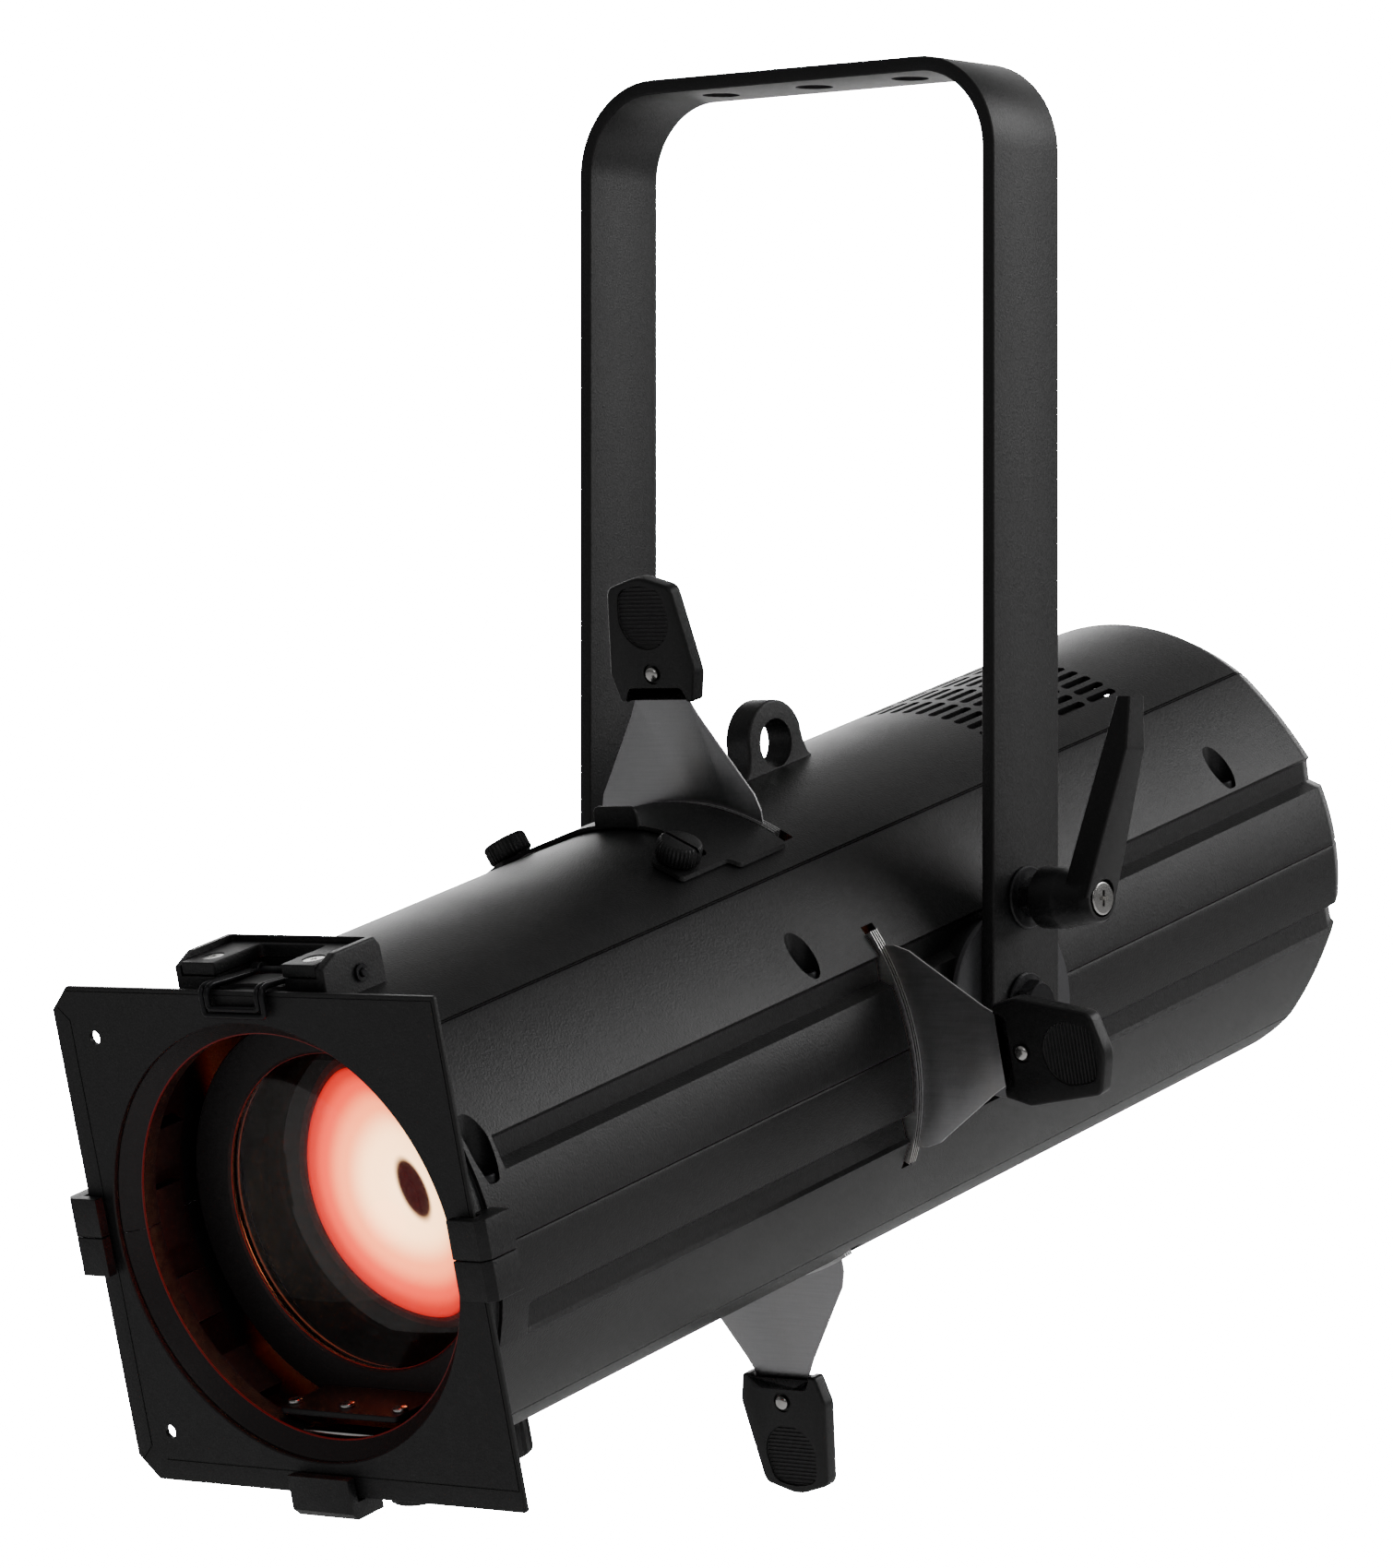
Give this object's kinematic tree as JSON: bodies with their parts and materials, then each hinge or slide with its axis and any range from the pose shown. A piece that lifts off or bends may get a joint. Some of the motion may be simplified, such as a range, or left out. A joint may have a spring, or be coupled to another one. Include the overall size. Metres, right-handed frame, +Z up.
{
  "type": "ellipsoidal spotlight",
  "caption": "Stage profile spotlight: a round split-casting barrel hung in a flat-bar yoke, with sliding shutters, zoom lenses, a gobo slot cover and a square front frame.",
  "frame": {"origin": "centre of the yoke's top face, where the spotlight hangs from its clamp", "axes": "+Z up, -Y the way the beam leaves, +X to the right seen from the front"},
  "size_m": [0.3718, 0.5859, 0.5613],
  "materials": {
    "black_coat": "fine powder coat",
    "casting": "textured black powder coat on die-cast aluminium",
    "black_plastic": "fine moulded grain",
    "stainless": "cold rolled sheet",
    "nickel": "satin nickel plate",
    "dark_steel": "blackened steel",
    "aluminium": "plain",
    "lens_glass": "polished",
    "screen": "smooth tinted window",
    "board": "white solder mask"
  },
  "bodies": {
    "yoke": {"yoke_strap": "casting", "pivot_bolt_right": "dark_steel", "pivot_bolt_left": "dark_steel", "lock_stud_right": "dark_steel", "lock_bolt_left": "dark_steel", "brake_shoe_right": "dark_steel", "brake_shoe_left": "dark_steel"},
    "lock_lever": {"lock_lever": "black_plastic", "lever_screw": "nickel"},
    "barrel": {"upper_housing": "casting", "lower_housing": "casting", "tilt_disc_right": "aluminium", "tilt_disc_left": "aluminium", "frame_holder": "casting", "holder_plate": "black_coat", "bail_pin": "dark_steel", "safety_eye": "casting", "gate_front_plate": "stainless", "gate_rear_plate": "stainless", "condenser_lens": "lens_glass", "led_board": "board", "heat_sink": "aluminium", "fan_housing": "black_plastic", "power_supply": "board", "rear_panel": "casting", "display_window": "screen", "power_inlet": "black_plastic", "power_outlet": "black_plastic", "data_input": "dark_steel", "data_output": "dark_steel", "fuse_holder": "black_plastic"},
    "frame_bail": {"frame_bail": "dark_steel"},
    "front_frame": {"front_frame": "black_coat"},
    "gobo_cover": {"gobo_cover": "black_coat"},
    "thumbscrew_right": {"thumbscrew_right": "black_plastic"},
    "thumbscrew_left": {"thumbscrew_left": "black_plastic"},
    "shutter_top": {"shutter_blade_top": "stainless", "shutter_handle_top": "black_plastic", "shutter_rivet_top": "nickel"},
    "shutter_right": {"shutter_blade_right": "stainless", "shutter_handle_right": "black_plastic", "shutter_rivet_right": "nickel"},
    "shutter_bottom": {"shutter_blade_bottom": "stainless", "shutter_handle_bottom": "black_plastic", "shutter_rivet_bottom": "nickel"},
    "shutter_left": {"shutter_blade_left": "stainless", "shutter_handle_left": "black_plastic", "shutter_rivet_left": "nickel"},
    "front_carriage": {"front_lens": "lens_glass", "front_lens_holder": "casting"},
    "front_knob": {"front_lens_knob": "black_plastic"},
    "rear_carriage": {"rear_lens": "lens_glass", "rear_lens_holder": "casting"},
    "rear_knob": {"rear_lens_knob": "black_plastic"},
    "fan_rotor": {"fan_rotor": "black_plastic"},
    "menu_button_1": {"menu_button_1": "black_plastic"},
    "menu_button_2": {"menu_button_2": "black_plastic"},
    "menu_button_3": {"menu_button_3": "black_plastic"},
    "menu_button_4": {"menu_button_4": "black_plastic"}
  },
  "joints": [
    {"name": "tilt", "type": "hinge", "parent": "yoke", "child": "barrel", "pos_m": [0, 0, -0.366], "axis": [1, 0, 0], "range_deg": [-45, 75]},
    {"name": "lock_lever_turn", "type": "hinge", "parent": "yoke", "child": "lock_lever", "pos_m": [0, 0, -0.325], "axis": [1, 0, 0], "range_deg": [-60, 45]},
    {"name": "frame_bail_lift", "type": "hinge", "parent": "barrel", "child": "frame_bail", "pos_m": [0, -0.30241, -0.34858], "axis": [-1, 0, 0], "range_deg": [0, 95]},
    {"name": "front_frame_lift", "type": "slide", "parent": "barrel", "child": "front_frame", "axis": [0, -0.2588, 0.9659], "range_m": [0, 0.0247]},
    {"name": "gobo_cover_slide", "type": "slide", "parent": "barrel", "child": "gobo_cover", "axis": [0, -0.9659, -0.2588], "range_m": [0, 0.012]},
    {"name": "thumbscrew_right_turn", "type": "hinge", "parent": "barrel", "child": "thumbscrew_right", "pos_m": [0.04142, -0.1331, -0.30971], "axis": [0.4226, -0.2346, 0.8754], "continuous": true},
    {"name": "thumbscrew_left_turn", "type": "hinge", "parent": "barrel", "child": "thumbscrew_left", "pos_m": [-0.04142, -0.1331, -0.30971], "axis": [-0.4226, -0.2346, 0.8754], "continuous": true},
    {"name": "shutter_top_slide", "type": "slide", "parent": "barrel", "child": "shutter_top", "axis": [0, 0.2588, -0.9659], "range_m": [0, 0.04]},
    {"name": "shutter_right_slide", "type": "slide", "parent": "barrel", "child": "shutter_right", "axis": [-1, 0, 0], "range_m": [0, 0.04]},
    {"name": "shutter_bottom_slide", "type": "slide", "parent": "barrel", "child": "shutter_bottom", "axis": [0, -0.2588, 0.9659], "range_m": [0, 0.04]},
    {"name": "shutter_left_slide", "type": "slide", "parent": "barrel", "child": "shutter_left", "axis": [1, 0, 0], "range_m": [0, 0.04]},
    {"name": "zoom_slide", "type": "slide", "parent": "barrel", "child": "rear_carriage", "axis": [0, 0.9659, 0.2588], "range_m": [0, 0.09]},
    {"name": "focus_slide", "type": "slide", "parent": "barrel", "child": "front_carriage", "axis": [0, 0.9659, 0.2588], "range_m": [0, 0.015]},
    {"name": "zoom_knob_turn", "type": "hinge", "parent": "rear_carriage", "child": "rear_knob", "pos_m": [0, -0.18726, -0.52488], "axis": [0, -0.2588, 0.9659], "continuous": true},
    {"name": "focus_knob_turn", "type": "hinge", "parent": "front_carriage", "child": "front_knob", "pos_m": [0, -0.23169, -0.53679], "axis": [0, -0.2588, 0.9659], "continuous": true},
    {"name": "fan_spin", "type": "hinge", "parent": "barrel", "child": "fan_rotor", "pos_m": [0, 0.15455, -0.32459], "axis": [0, 0.9659, 0.2588], "continuous": true},
    {"name": "menu_button_1_press", "type": "slide", "parent": "barrel", "child": "menu_button_1", "axis": [0, -0.9659, -0.2588], "range_m": [0, 0.0015], "stiffness_N_per_m": 400},
    {"name": "menu_button_2_press", "type": "slide", "parent": "barrel", "child": "menu_button_2", "axis": [0, -0.9659, -0.2588], "range_m": [0, 0.0015], "stiffness_N_per_m": 400},
    {"name": "menu_button_3_press", "type": "slide", "parent": "barrel", "child": "menu_button_3", "axis": [0, -0.9659, -0.2588], "range_m": [0, 0.0015], "stiffness_N_per_m": 400},
    {"name": "menu_button_4_press", "type": "slide", "parent": "barrel", "child": "menu_button_4", "axis": [0, -0.9659, -0.2588], "range_m": [0, 0.0015], "stiffness_N_per_m": 400}
  ],
  "couplings": [
    {"joint": "frame_bail_lift", "follows": "front_frame_lift", "rad_per_m": 66.667}
  ]
}
